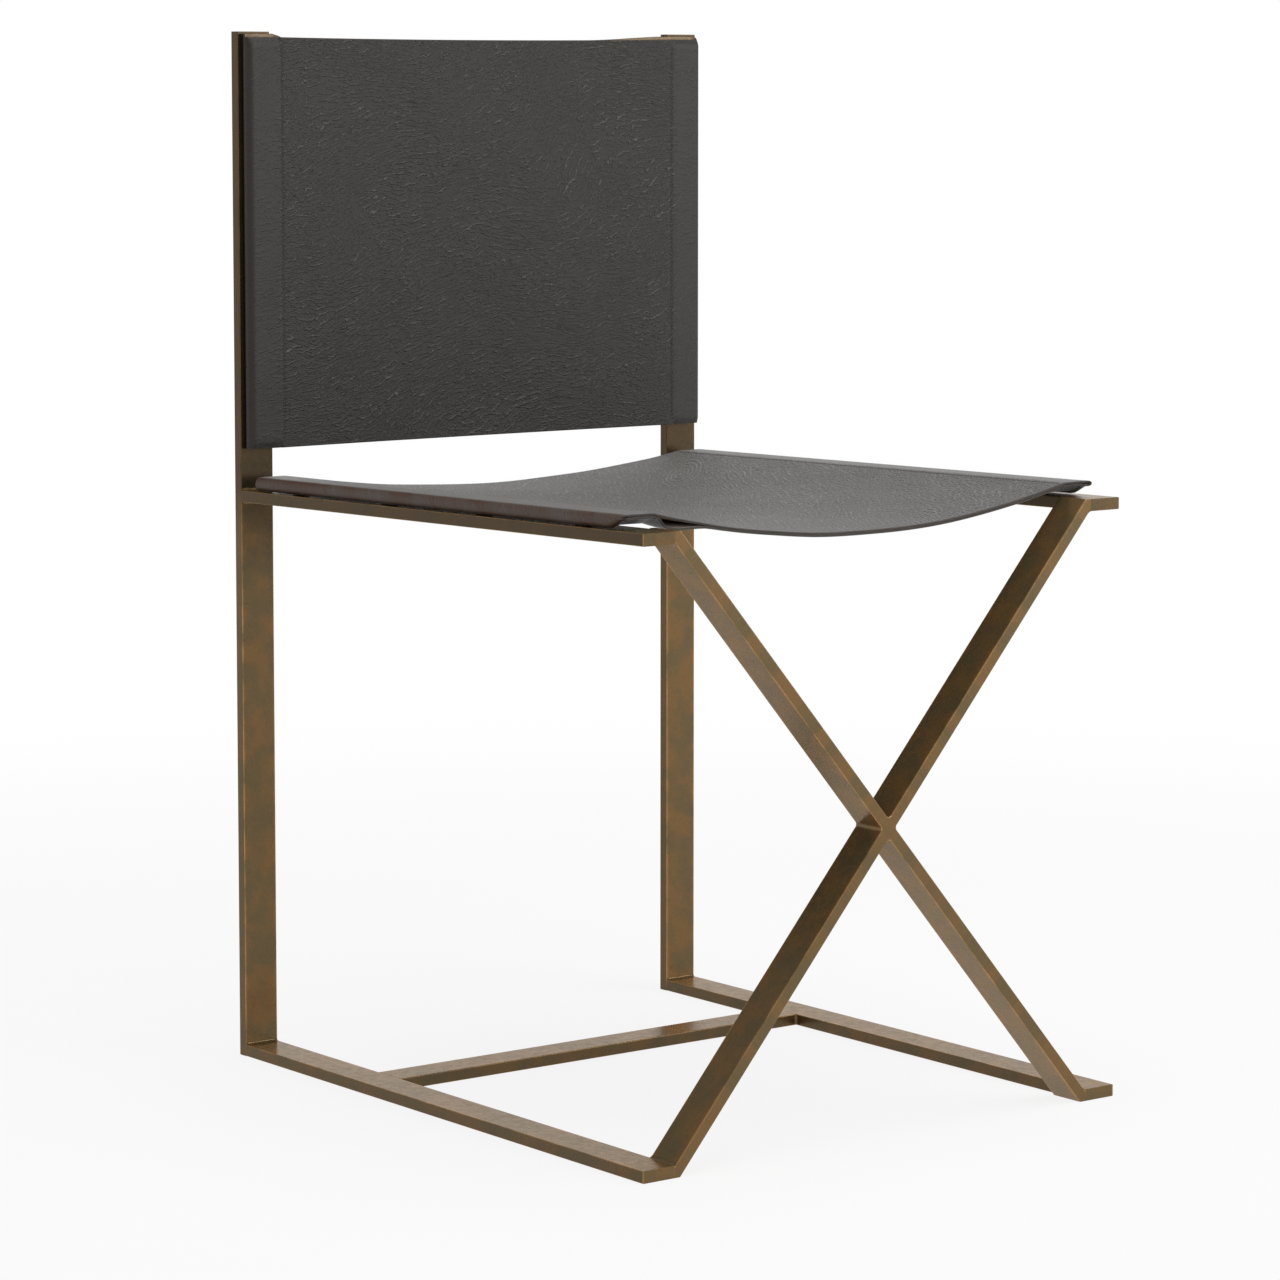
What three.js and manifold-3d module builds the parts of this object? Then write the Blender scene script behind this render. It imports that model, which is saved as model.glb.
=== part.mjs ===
// Dining chair of welded flat bar, with a leather sling seat and a leather sling back.
// Millimetres, +Z up. The front faces -Y, left is -X, and the origin is on the floor under the middle.

import * as THREE from "three";
import { mergeVertices } from "three/addons/utils/BufferGeometryUtils.js";
import Module from "manifold-3d";

const wasm = await Module();
wasm.setup();

// Overall frame
const frameWidth = 472;
const frameDepth = 552;
const frameHeight = 846;
const seatHeight = 480; // top of the seat rails at their front ends
const seatFall = 8.5; // how much lower the seat rails meet the uprights
const stretcherSetback = 151; // open length of the base rails behind the stretcher
const topRailDrop = 9; // from the tops of the uprights down to the back's cross rail

// Flat bar stock of the frame, with rolled corners
const barWidth = 31;
const barThick = 9.5;
const barCorner = 0.8;
const weldGap = 0.3; // left open where a slanted bar is welded to another
const weldFillet = 3.5; // radius of the ground welds in the corners of the front cross

// Flat bars that stretch the leather
const slingBarWidth = 25;
const slingBarThick = 5;
const slingBarCorner = 1;
const standoff = 2.6; // from the frame to the leather

// Leather, a loop of two layers sewn together beside each sling bar
const leatherThick = 1.8;
const sleeveInset = 4.5; // from the frame's side to the leather's
const sleeveCorner = 3.2;
const seamSetback = 3.2; // from the sling bar's edge to the seam
const pocketSetback = 0.5; // from the seam to the pocket

// Seat sling, along the seat rails
const seatFrontSetback = 28;
const seatRearSetback = 17;
const seatBarFrontInset = 31; // sling bar's end inside the leather's front edge
const seatBarRearInset = 6;
const mouthFlat = 12; // length of the pocket that lies pressed flat at the front edge
const mouthGap = 0.6; // opening left in the flat pocket
const seatSagFront = 25.5;
const seatSagRear = 17;

// Back sling, along the uprights
const backRise = 26; // from the tops of the seat rails at the front up to the leather
const backTopDrop = 4.5; // from the tops of the uprights down to the leather
const backBarInset = 5;
const backBow = 5; // how far the leather bows back midway between the uprights

// Countersunk socket screws and their spacers
const seatScrewsPerSide = 4;
const backScrewsPerSide = 3;
const screwEndInset = 38; // first and last screw inside the sling bar's ends
const screwRadius = 2.5;
const screwHeadRadius = 4.8;
const screwTipSetback = 1; // from the far face of the sling bar back to the screw's tip
const socketFlats = 3;
const socketDepth = 1.8;
const spacerRadius = 7;

// Clearance between separate pieces, and the overrun of every cutting shape
const fit = 0.3;
const overrun = 2;

// Fineness of the curves
const cornerSteps = 3;
const filletSteps = 5;
const roundSteps = 16;
const sheetSteps = 16;
const seatSteps = 9;
const mouthSteps = 4;

// Places that follow from the sizes
const frontY = -frameDepth / 2;
const uprightFrontY = frameDepth / 2 - barThick;
const railLength = uprightFrontY - frontY;
const railX = (frameWidth - barWidth) / 2;
const innerHalf = frameWidth / 2 - barWidth;
const sleeveOuter = frameWidth / 2 - sleeveInset;
const slingBarX = sleeveOuter - leatherThick - fit - slingBarWidth / 2;
const slingBarInner = slingBarX - slingBarWidth / 2;
const slingBarFace = standoff + leatherThick + fit;
const seamX = slingBarInner - seamSetback;
const pocketHeight = slingBarThick + 2 * fit;
const pocketFloor = standoff + leatherThick;
const pocketRoof = pocketFloor + pocketHeight;
const leatherFace = pocketRoof + leatherThick;
const sheetUnder = leatherFace - 2 * leatherThick;
const boreRadius = screwRadius + fit;
const backBottom = seatHeight + backRise;

const X = new THREE.Vector3(1, 0, 0);
const Y = new THREE.Vector3(0, 1, 0);
const Z = new THREE.Vector3(0, 0, 1);
const sides = { left: -1, right: 1 };

// Turns a drawing that lies flat so that it stands up and faces the front
const standing = new THREE.Matrix4().makeBasis(X, Z, Y.clone().negate());

const frameStock = { width: barWidth, thick: barThick, corner: barCorner };
const slingStock = { width: slingBarWidth, thick: slingBarThick, corner: slingBarCorner };

const bronze = { color: 0x7a6046, roughness: 0.42, metalness: 0.85, flatShading: true };
const zinc = { color: 0x8d8f90, roughness: 0.4, metalness: 0.9, flatShading: true };
const blackSteel = { color: 0x2b2a29, roughness: 0.5, metalness: 0.8, flatShading: true };
const leather = { color: 0x474644, roughness: 0.62, metalness: 0 };

// Steps from one value to another, both ends included
function even(from, to, steps) {
  return Array.from({ length: steps + 1 }, (_, i) => THREE.MathUtils.lerp(from, to, i / steps));
}

// The two slings are fastened alike. Each is drawn in its own space: x runs across, y runs along
// the bars that carry it, z = 0 is the face of those bars and the leather lies above that face.
// `place` puts the drawing in the chair.

const seat = {
  place: new THREE.Matrix4()
    .makeShear(0, 0, 0, -seatFall / railLength, 0, 0)
    .setPosition(0, frontY, seatHeight),
  start: seatFrontSetback,
  end: railLength - seatRearSetback,
  barStart: seatFrontSetback + seatBarFrontInset,
  barEnd: railLength - seatRearSetback - seatBarRearInset,
  screws: seatScrewsPerSide,
  sag: [seatSagFront, seatSagRear],
};
seat.pressed = (y) => 1 - THREE.MathUtils.smoothstep(y, seat.start + mouthFlat, seat.barStart);
seat.stations = [
  ...even(seat.start, seat.barStart, mouthSteps).slice(0, -1),
  ...even(seat.barStart, seat.end, seatSteps),
];

const back = {
  place: standing.clone().setPosition(0, uprightFrontY, 0),
  start: backBottom,
  end: frameHeight - backTopDrop,
  barStart: backBottom + backBarInset,
  barEnd: frameHeight - backTopDrop - backBarInset,
  screws: backScrewsPerSide,
  sag: [backBow, backBow],
};
back.pressed = () => 0;
back.stations = [back.start, back.end];

// Closed mesh to solid and back again

function toSolid(geometry) {
  const bare = new THREE.BufferGeometry();
  bare.setAttribute("position", geometry.getAttribute("position"));
  bare.setIndex(geometry.getIndex());
  const merged = mergeVertices(bare);
  const corners = merged.getIndex().array;
  const triangles = [];
  for (let i = 0; i < corners.length; i += 3) {
    const [a, b, c] = corners.slice(i, i + 3);
    if (a !== b && b !== c && c !== a) triangles.push(a, b, c);
  }
  const vertProperties = new Float32Array(merged.getAttribute("position").array);
  const triVerts = new Uint32Array(triangles);
  return new wasm.Manifold(new wasm.Mesh({ numProp: 3, vertProperties, triVerts }));
}

function toGeometry(solid) {
  const mesh = solid.getMesh();
  const geometry = new THREE.BufferGeometry();
  geometry.setAttribute("position", new THREE.BufferAttribute(mesh.vertProperties, 3));
  geometry.setIndex(new THREE.BufferAttribute(mesh.triVerts, 1));
  geometry.computeVertexNormals();
  return geometry;
}

function cut(geometry, cutters) {
  return toGeometry(cutters.map(toSolid).reduce((rest, next) => rest.subtract(next), toSolid(geometry)));
}

// Bar stock: a length of flat bar from `start` along `long`, with its width along `wide`

function roundedRectangle(width, height, corner) {
  const x = width / 2 - corner;
  const y = height / 2 - corner;
  const shape = new THREE.Shape();
  shape.absarc(x, y, corner, 0, Math.PI / 2);
  shape.absarc(-x, y, corner, Math.PI / 2, Math.PI);
  shape.absarc(-x, -y, corner, Math.PI, Math.PI * 1.5);
  shape.absarc(x, -y, corner, Math.PI * 1.5, Math.PI * 2);
  return shape;
}

function flatBar(stock, length, start, wide, long) {
  const section = roundedRectangle(stock.width, stock.thick, stock.corner);
  const options = { depth: length, bevelEnabled: false, curveSegments: cornerSteps };
  const thin = new THREE.Vector3().crossVectors(long, wide);
  const place = new THREE.Matrix4().makeBasis(wide, thin, long).setPosition(start);
  return new THREE.ExtrudeGeometry(section, options).applyMatrix4(place);
}

// Screws and spacers, turned about z. A screw's head is flush with the far face of the carrying bar.

function turned(profile) {
  const points = profile.map(([radius, height]) => new THREE.Vector2(radius, height));
  return new THREE.LatheGeometry(points, roundSteps).rotateX(Math.PI / 2).translate(0, 0, -barThick);
}

function screw() {
  const length = barThick + slingBarFace + slingBarThick - screwTipSetback;
  const body = turned([
    [0, 0],
    [screwHeadRadius, 0],
    [screwRadius, screwHeadRadius - screwRadius],
    [screwRadius, length],
    [0, length],
  ]);
  const socketRadius = socketFlats / Math.sqrt(3);
  const socket = new THREE.CylinderGeometry(socketRadius, socketRadius, socketDepth + overrun, 6);
  socket.rotateX(Math.PI / 2).translate(0, 0, (socketDepth - overrun) / 2 - barThick);
  return cut(body, [socket]);
}

function countersunkHole() {
  const mouthRadius = screwHeadRadius + fit;
  return turned([
    [0, -overrun],
    [mouthRadius + overrun, -overrun],
    [boreRadius, mouthRadius - boreRadius],
    [boreRadius, barThick + overrun],
    [0, barThick + overrun],
  ]);
}

// Plain hole from the carrying bar's near face to a height above it
function plainHole(height) {
  return turned([
    [0, barThick],
    [boreRadius, barThick],
    [boreRadius, barThick + height],
    [0, barThick + height],
  ]);
}

function spacer() {
  const bottom = barThick + fit;
  const top = barThick + standoff - fit;
  return turned([
    [boreRadius, bottom],
    [spacerRadius, bottom],
    [spacerRadius, top],
    [boreRadius, top],
    [boreRadius, bottom],
  ]);
}

// One copy of what `make` gives at each screw on a side of a sling
function atScrews(make, side, sling) {
  const first = sling.barStart + screwEndInset;
  const last = sling.barEnd - screwEndInset;
  return even(first, last, sling.screws - 1).map((y) => make().translate(side * slingBarX, y, 0));
}

// Bars of the frame that carry the slings, and the bars inside the leather

function carryingBar(side, length, sling) {
  const start = new THREE.Vector3(side * railX, 0, -barThick / 2);
  const bar = flatBar(frameStock, length, start, X, Y);
  return cut(bar, atScrews(countersunkHole, side, sling)).applyMatrix4(sling.place);
}

function slingBar(side, sling) {
  const start = new THREE.Vector3(side * slingBarX, sling.barStart, slingBarFace + slingBarThick / 2);
  const bar = flatBar(slingStock, sling.barEnd - sling.barStart, start, X, Y);
  const hole = () => plainHole(slingBarFace + slingBarThick + overrun);
  return cut(bar, atScrews(hole, side, sling)).applyMatrix4(sling.place);
}

function fasteners(make, side, sling) {
  return atScrews(make, side, sling).map((piece) => piece.applyMatrix4(sling.place));
}

// Leather, drawn as a section across the sling

// Outline of the right sleeve, from the seam's underside round the outer edge to the top
function sleeve() {
  const x = sleeveOuter - sleeveCorner;
  const outline = new THREE.Path();
  outline.moveTo(seamX, sheetUnder);
  outline.lineTo(slingBarInner - leatherThick, standoff);
  outline.absarc(x, standoff + sleeveCorner, sleeveCorner, -Math.PI / 2, 0);
  outline.absarc(x, leatherFace - sleeveCorner, sleeveCorner, 0, Math.PI / 2);
  outline.lineTo(slingBarInner, leatherFace);
  return outline.getPoints(cornerSteps);
}

function pocket(side) {
  const outer = sleeveOuter - leatherThick;
  const inner = slingBarInner - fit;
  const corners = [
    [outer, pocketFloor],
    [outer, pocketRoof],
    [inner, pocketRoof],
    [seamX + pocketSetback, pocketRoof],
    [inner, pocketFloor],
  ];
  return corners.map(([x, z]) => new THREE.Vector2(side * x, z));
}

// How far the leather hangs below its flat place, from nothing at the sleeves to `depth` midway
function dip(x, depth) {
  const outwardShare = Math.min(Math.abs(x) / slingBarInner, 1);
  return depth * (1 - outwardShare ** 2);
}

function leatherSection(depth) {
  const hang = (points) => points.map(({ x, y }) => new THREE.Vector2(x, y - dip(x, depth)));
  const right = sleeve();
  const left = right.map(({ x, y }) => new THREE.Vector2(-x, y)).reverse();
  const sheet = (z) => even(-seamX, seamX, sheetSteps).map((x) => new THREE.Vector2(x, z));
  const under = sheet(sheetUnder).slice(1, -1);
  const shape = new THREE.Shape(hang([...under, ...right, ...sheet(leatherFace).reverse(), ...left]));
  shape.holes.push(new THREE.Path(hang(pocket(1))), new THREE.Path(hang(pocket(-1))));
  return shape;
}

// Runs the section along the sling, presses the mouths of the pockets flat and changes the sag
function leatherSling(sling) {
  const last = sling.stations.length - 1;
  const options = { depth: last, steps: last, bevelEnabled: false };
  const geometry = new THREE.ExtrudeGeometry(leatherSection(sling.sag[0]), options);
  const { clamp, lerp } = THREE.MathUtils;
  const points = geometry.getAttribute("position");
  for (let i = 0; i < points.count; i += 1) {
    const x = points.getX(i);
    const y = sling.stations[last - Math.round(points.getZ(i))];
    const flat = points.getY(i) + dip(x, sling.sag[0]);
    const inSleeve = clamp((Math.abs(x) - seamX) / pocketSetback, 0, 1);
    const belowRoof = clamp((pocketRoof - flat) / pocketHeight, 0, 1);
    const lift = sling.pressed(y) * inSleeve * belowRoof * (pocketHeight - mouthGap);
    const depth = lerp(...sling.sag, (y - sling.start) / (sling.end - sling.start));
    points.setXYZ(i, x, y, flat + lift - dip(x, depth));
  }
  const hole = () => plainHole(slingBarFace);
  const holes = Object.values(sides).flatMap((side) => atScrews(hole, side, sling));
  return cut(geometry, holes).applyMatrix4(sling.place);
}

// Rest of the frame

function baseRail(side) {
  const start = new THREE.Vector3(side * railX, frontY, barThick / 2);
  return flatBar(frameStock, railLength, start, X, Y);
}

function baseStretcher() {
  const y = uprightFrontY - stretcherSetback - barWidth / 2;
  const start = new THREE.Vector3(-innerHalf, y, barThick / 2);
  return flatBar(frameStock, 2 * innerHalf, start, Y, X);
}

function topRail() {
  const z = frameHeight - topRailDrop - barWidth / 2;
  const start = new THREE.Vector3(-innerHalf, frameDepth / 2 - barThick / 2, z);
  return flatBar(frameStock, 2 * innerHalf, start, Z, X);
}

// Front cross. A bar's upper face meets the inner edge of a base rail's top, and its lower face
// meets the inner edge of the far seat rail's underside, which sets its slope.

const crossRise = seatHeight - 2 * barThick;
const crossDiagonal = Math.hypot(2 * innerHalf, crossRise);
const crossAngle = Math.atan2(crossRise, 2 * innerHalf) + Math.asin(barThick / crossDiagonal);
const crossMiddle = new THREE.Vector3(0, frontY + barWidth / 2, seatHeight / 2);

// Bar through the middle of the cross that rises to the side given, too long at both ends
function slantedBar(side, stock) {
  const long = new THREE.Vector3(side * Math.cos(crossAngle), 0, Math.sin(crossAngle));
  const length = crossDiagonal + 2 * barWidth;
  const start = crossMiddle.clone().addScaledVector(long, -length / 2);
  return toSolid(flatBar(stock, length, start, Y, long));
}

// Room between the rails, from one height to another
function between(low, high) {
  const box = new THREE.BoxGeometry(2 * innerHalf, barWidth, high - low);
  return toSolid(box.translate(0, crossMiddle.y, (low + high) / 2));
}

// Weld in one corner of the cross. `direction` is the way that the corner faces, as an angle from +X,
// and each of its sides slants away from that direction by `halfAngle`.
function cornerWeld(direction, halfAngle) {
  const reach = (barThick / 2 + weldFillet) / Math.sin(halfAngle);
  const swing = Math.PI / 2 - halfAngle;
  const facing = direction + Math.PI;
  const shape = new THREE.Shape();
  shape.absarc(
    reach * Math.cos(direction),
    reach * Math.sin(direction),
    weldFillet,
    facing - swing,
    facing + swing,
  );
  shape.lineTo(0, 0);
  const depth = barWidth - 2 * barCorner;
  const weld = new THREE.ExtrudeGeometry(shape, { depth, bevelEnabled: false, curveSegments: filletSteps });
  return weld.applyMatrix4(standing).translate(0, crossMiddle.y + depth / 2, crossMiddle.z);
}

function wholeCrossBar() {
  return toGeometry(slantedBar(1, frameStock).intersect(between(0, seatHeight)));
}

// Half of the other bar, with the welds that join it to the whole one: in the corner that faces
// straight up or down, and in the one that faces its own side's opening
function halfCrossBar(low, high, upright, level) {
  const cutter = { width: barWidth + 2 * overrun, thick: barThick + 2 * weldGap, corner: barCorner };
  const bar = slantedBar(-1, frameStock).intersect(between(low, high));
  const welds = [cornerWeld(upright, Math.PI / 2 - crossAngle), cornerWeld(level, crossAngle)];
  const half = welds.map(toSolid).reduce((whole, weld) => whole.add(weld), bar);
  return toGeometry(half.subtract(slantedBar(1, cutter)));
}

// Assembly

const chair = new THREE.Group();

function add(name, geometry, look) {
  const mesh = new THREE.Mesh(geometry, new THREE.MeshStandardMaterial(look));
  mesh.name = name;
  chair.add(mesh);
}

function addEach(name, geometries, look) {
  geometries.forEach((geometry, i) => add(`${name}_${i + 1}`, geometry, look));
}

for (const [name, side] of Object.entries(sides)) {
  add(`${name}_upright`, carryingBar(side, frameHeight, back), bronze);
  add(`${name}_base_rail`, baseRail(side), bronze);
  add(`${name}_seat_rail`, carryingBar(side, railLength, seat), bronze);
  for (const [part, sling] of Object.entries({ seat, back })) {
    add(`${name}_${part}_sling_bar`, slingBar(side, sling), zinc);
    addEach(`${name}_${part}_spacer`, fasteners(spacer, side, sling), blackSteel);
    addEach(`${name}_${part}_screw`, fasteners(screw, side, sling), blackSteel);
  }
}

add("base_stretcher", baseStretcher(), bronze);
add("top_back_rail", topRail(), bronze);
add("cross_bar", wholeCrossBar(), bronze);
add("cross_bar_lower_half", halfCrossBar(0, seatHeight / 2, -Math.PI / 2, 0), bronze);
add("cross_bar_upper_half", halfCrossBar(seatHeight / 2, seatHeight, Math.PI / 2, Math.PI), bronze);
add("seat_sling", leatherSling(seat), leather);
add("back_sling", leatherSling(back), leather);

export default chair;
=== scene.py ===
"""Looks of the flat bar dining chair with leather slings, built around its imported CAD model.

Sizes are in millimetres, as in the part's source, until `add_piece` writes a mesh in metres. The
materials' patterns are in metres, as Blender measures them, so that a noise texture's scale is how
many of its clouds a metre holds. The front faces -Y, left is -X, and the origin is on the floor
under the middle.
"""

import math

import bpy
import numpy as np
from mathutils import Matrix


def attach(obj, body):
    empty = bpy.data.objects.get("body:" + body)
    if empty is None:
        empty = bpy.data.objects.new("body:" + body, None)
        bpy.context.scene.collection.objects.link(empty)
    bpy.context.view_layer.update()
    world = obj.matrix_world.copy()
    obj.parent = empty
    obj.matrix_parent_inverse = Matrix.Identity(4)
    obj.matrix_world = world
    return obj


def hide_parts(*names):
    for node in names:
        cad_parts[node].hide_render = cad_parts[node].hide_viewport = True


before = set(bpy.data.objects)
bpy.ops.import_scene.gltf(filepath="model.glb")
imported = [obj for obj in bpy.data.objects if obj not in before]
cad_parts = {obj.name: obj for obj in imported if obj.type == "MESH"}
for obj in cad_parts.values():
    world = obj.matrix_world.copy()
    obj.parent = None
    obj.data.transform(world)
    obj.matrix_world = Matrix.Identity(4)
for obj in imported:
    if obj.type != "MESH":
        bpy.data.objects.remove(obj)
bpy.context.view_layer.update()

# Frame, as in the part's source
FRAME_WIDTH = 472
FRAME_DEPTH = 552
FRAME_HEIGHT = 846
SEAT_HEIGHT = 480  # top of the seat rails at their front ends
SEAT_FALL = 8.5  # how much lower they meet the uprights
STRETCHER_SETBACK = 151
TOP_RAIL_DROP = 9
BAR_WIDTH = 31
BAR_THICK = 9.5
BAR_CORNER = 0.8
FRONT_Y = -FRAME_DEPTH / 2
UPRIGHT_FRONT_Y = FRAME_DEPTH / 2 - BAR_THICK
RAIL_LENGTH = UPRIGHT_FRONT_Y - FRONT_Y
RAIL_X = (FRAME_WIDTH - BAR_WIDTH) / 2
INNER_HALF = FRAME_WIDTH / 2 - BAR_WIDTH
STRETCHER_REAR_Y = UPRIGHT_FRONT_Y - STRETCHER_SETBACK
TOP_RAIL_Z = FRAME_HEIGHT - TOP_RAIL_DROP

# Slings, as in the part's source, with heights above the steel that carries the sling bars
SLING_BAR_WIDTH = 25
SLING_BAR_THICK = 5
FIT = 0.3
LEATHER_THICK = 1.8
STANDOFF = 2.6  # from the steel to the leather
SLEEVE_INSET = 4.5  # from the frame's side to the leather's
SEAM_SETBACK = 3.2  # from a sling bar's inner edge to the seam
SLEEVE_OUTER = FRAME_WIDTH / 2 - SLEEVE_INSET
BAR_EDGE_X = SLEEVE_OUTER - LEATHER_THICK - FIT - SLING_BAR_WIDTH
SEAM_X = BAR_EDGE_X - SEAM_SETBACK
LEATHER_FACE = STANDOFF + 2 * LEATHER_THICK + SLING_BAR_THICK + 2 * FIT
SHEET_UNDER = LEATHER_FACE - 2 * LEATHER_THICK
SEAT_FRONT_SETBACK = 28
SEAT_REAR_SETBACK = 17
SEAT_SAG = 25.5, 17  # at the front and the rear
BACK_RISE = 26  # from the top of the seat rails up to the leather
BACK_TOP_DROP = 4.5  # from the tops of the uprights down to the leather
BACK_BOW = 5


def smoothstep(value, low, high):
    """0 below `low`, 1 above `high`, and between them 3t^2 - 2t^3 of the share t of the way."""
    t = np.clip((value - low) / (high - low), 0, 1)
    return t * t * (3 - 2 * t)


def spread_places(fine, step):
    """Places along the run `fine`, with gaps of about `step`, which is given at each fine place."""
    travelled = np.concatenate([[0], np.cumsum(np.diff(fine) / ((step[1:] + step[:-1]) / 2))])
    count = max(int(round(travelled[-1])), 1)
    return np.interp(np.linspace(0, travelled[-1], count + 1), travelled, fine)


def grid_quads(rows, columns, round_rows=False, round_columns=False):
    """Quads over a grid of points numbered row by row, closed on itself where it goes round."""
    r = np.arange(rows if round_rows else rows - 1)[:, None]
    c = np.arange(columns if round_columns else columns - 1)[None, :]
    nr, nc = (r + 1) % rows, (c + 1) % columns
    quads = [r * columns + c, nr * columns + c, nr * columns + nc, r * columns + nc]
    return np.stack(np.broadcast_arrays(*quads), -1).reshape(-1, 4)


def add_piece(name, points, faces, material, replaces=(), values=None, flat_place=None, smooth=True):
    """Writes a mesh in metres. `faces` holds an array for each number of corners, `values` a number
    for each point under an attribute's name, and `flat_place` the place in the flat hide, or along
    and across a bar, of each point or of each corner of the faces."""
    mesh = bpy.data.meshes.new(name)
    corners = np.concatenate([np.asarray(f).ravel() for f in faces]).astype(np.int32)
    sizes = np.concatenate([np.full(len(f), np.shape(f)[1]) for f in faces]).astype(np.int32)
    mesh.vertices.add(len(points))
    mesh.vertices.foreach_set("co", (np.asarray(points) * 0.001).astype(np.float32).ravel())
    mesh.loops.add(len(corners))
    mesh.loops.foreach_set("vertex_index", corners)
    mesh.polygons.add(len(sizes))
    mesh.polygons.foreach_set("loop_start", np.concatenate([[0], np.cumsum(sizes)[:-1]]).astype(np.int32))
    mesh.polygons.foreach_set("use_smooth", np.full(len(sizes), smooth))
    mesh.update(calc_edges=True)
    for key, value in (values or {}).items():
        mesh.attributes.new(key, "FLOAT", "POINT").data.foreach_set("value", value.astype(np.float32))
    if flat_place is not None:
        if len(flat_place) == len(points):
            flat_place = flat_place[corners]
        layer = mesh.uv_layers.new(name="hide")
        layer.uv.foreach_set("vector", (flat_place * 0.001).astype(np.float32).ravel())
    mesh.materials.append(material)
    piece = bpy.data.objects.new(name, mesh)
    bpy.context.collection.objects.link(piece)
    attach(piece, "root")
    if replaces:
        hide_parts(*replaces)
    return piece


# Materials

SMOOTHLY = {"interpolation_type": "SMOOTHSTEP"}
COLOURS = {"data_type": "RGBA"}
PLACES = {"data_type": "VECTOR", "factor_mode": "NON_UNIFORM"}
WAVE_BAND = 314  # mm between the bands of a wave texture at a scale of 1


def linear(colour):
    """An sRGB hex colour as linear light, with alpha 1."""
    parts = [int(colour[i : i + 2], 16) / 255 for i in (1, 3, 5)]
    return (*[p / 12.92 if p <= 0.04045 else ((p + 0.055) / 1.055) ** 2.4 for p in parts], 1)


def add_node(tree, kind, inputs=(), **settings):
    """Adds a node with its settings. `inputs` pairs a socket with a value or with the output that
    feeds it, where a node stands for the first of its outputs in use."""
    made = tree.nodes.new("ShaderNode" + kind)
    for key, value in settings.items():
        setattr(made, key, value)
    for socket, value in dict(inputs).items():
        if isinstance(value, bpy.types.Node):
            value = next(output for output in value.outputs if output.enabled)
        if isinstance(value, bpy.types.NodeSocket):
            tree.links.new(value, made.inputs[socket])
        else:
            made.inputs[socket].default_value = value
    return made


def new_material(name):
    """An empty node material with its output."""
    material = bpy.data.materials.new(name)
    material.use_nodes = True
    material.node_tree.nodes.clear()
    return material, material.node_tree, add_node(material.node_tree, "OutputMaterial")


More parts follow.
